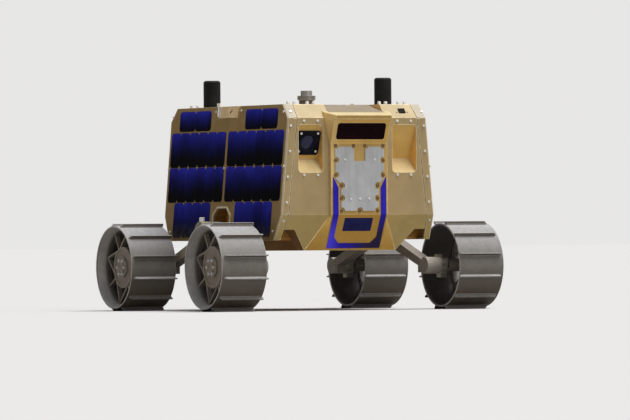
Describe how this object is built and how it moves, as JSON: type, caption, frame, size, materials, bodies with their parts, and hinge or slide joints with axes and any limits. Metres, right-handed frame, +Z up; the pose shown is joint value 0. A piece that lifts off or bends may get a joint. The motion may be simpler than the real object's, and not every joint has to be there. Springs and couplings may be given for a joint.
{
  "type": "planetary rover prototype",
  "caption": "Four-wheeled planetary rover prototype: faceted box body with solar cells on its leaning sides, a proud front fascia, rigid rocker arms and open wheels with plate grousers.",
  "frame": {"origin": "on the ground, under the middle of the wheelbase and the middle of the track", "axes": "+Z up; -Y is forward, out of the fascia; +X is the rover's left hand side"},
  "size_m": [0.619, 0.5734, 0.4573],
  "materials": {
    "gold_panel": "matte gold anodised sheet",
    "gold_bright": "satin gold anodised",
    "inner_panel": "amber primer",
    "solar_cell": "deep blue cover glass",
    "dark_glass": "dark tinted",
    "plate_grey": "brushed, blank",
    "band_blue": "gloss",
    "black_anodised": "satin black anodised",
    "lens_glass": "coated lens",
    "antenna_black": "matte",
    "connector_silver": "turned",
    "bracket_gold": "machined, gold anodised",
    "arm_grey": "bead blasted",
    "steel_dark": "turned",
    "wheel_grey": "dusty grey coat"
  },
  "bodies": {
    "chassis": {"side_frame_left": "gold_panel", "side_frame_right": "gold_panel", "front_pillar_left": "gold_panel", "front_pillar_right": "gold_panel", "rear_cover": "gold_panel", "roof_deck": "gold_panel", "roof_ramp": "gold_panel", "fascia": "gold_bright", "visor": "gold_bright", "inner_body": "inner_panel", "belly_pan": "inner_panel", "solar_cells_left": "solar_cell", "solar_cells_right": "solar_cell", "sensor_window": "dark_glass", "service_plate": "plate_grey", "fascia_band": "band_blue", "camera_body": "black_anodised", "camera_lens": "lens_glass", "port_socket": "black_anodised", "antenna_front": "antenna_black", "antenna_rear": "antenna_black", "roof_connector": "connector_silver", "side_bracket_left": "bracket_gold", "side_bracket_right": "bracket_gold", "rocker_left": "arm_grey", "rocker_right": "arm_grey", "pivot_shaft_left": "steel_dark", "pivot_shaft_right": "steel_dark", "drive_motor_front_left": "arm_grey", "drive_axle_front_left": "steel_dark", "drive_motor_front_right": "arm_grey", "drive_axle_front_right": "steel_dark", "drive_motor_rear_left": "arm_grey", "drive_axle_rear_left": "steel_dark", "drive_motor_rear_right": "arm_grey", "drive_axle_rear_right": "steel_dark"},
    "wheel_front_left": {"wheel_drum_front_left": "wheel_grey", "wheel_hub_front_left": "wheel_grey"},
    "wheel_front_right": {"wheel_drum_front_right": "wheel_grey", "wheel_hub_front_right": "wheel_grey"},
    "wheel_rear_left": {"wheel_drum_rear_left": "wheel_grey", "wheel_hub_rear_left": "wheel_grey"},
    "wheel_rear_right": {"wheel_drum_rear_right": "wheel_grey", "wheel_hub_rear_right": "wheel_grey"}
  },
  "joints": [
    {"name": "wheel_spin_front_left", "type": "hinge", "parent": "chassis", "child": "wheel_front_left", "pos_m": [0.261, -0.2, 0.08645], "axis": [1, 0, 0], "continuous": true},
    {"name": "wheel_spin_front_right", "type": "hinge", "parent": "chassis", "child": "wheel_front_right", "pos_m": [-0.261, -0.2, 0.08645], "axis": [1, 0, 0], "continuous": true},
    {"name": "wheel_spin_rear_left", "type": "hinge", "parent": "chassis", "child": "wheel_rear_left", "pos_m": [0.261, 0.2, 0.08645], "axis": [1, 0, 0], "continuous": true},
    {"name": "wheel_spin_rear_right", "type": "hinge", "parent": "chassis", "child": "wheel_rear_right", "pos_m": [-0.261, 0.2, 0.08645], "axis": [1, 0, 0], "continuous": true}
  ]
}
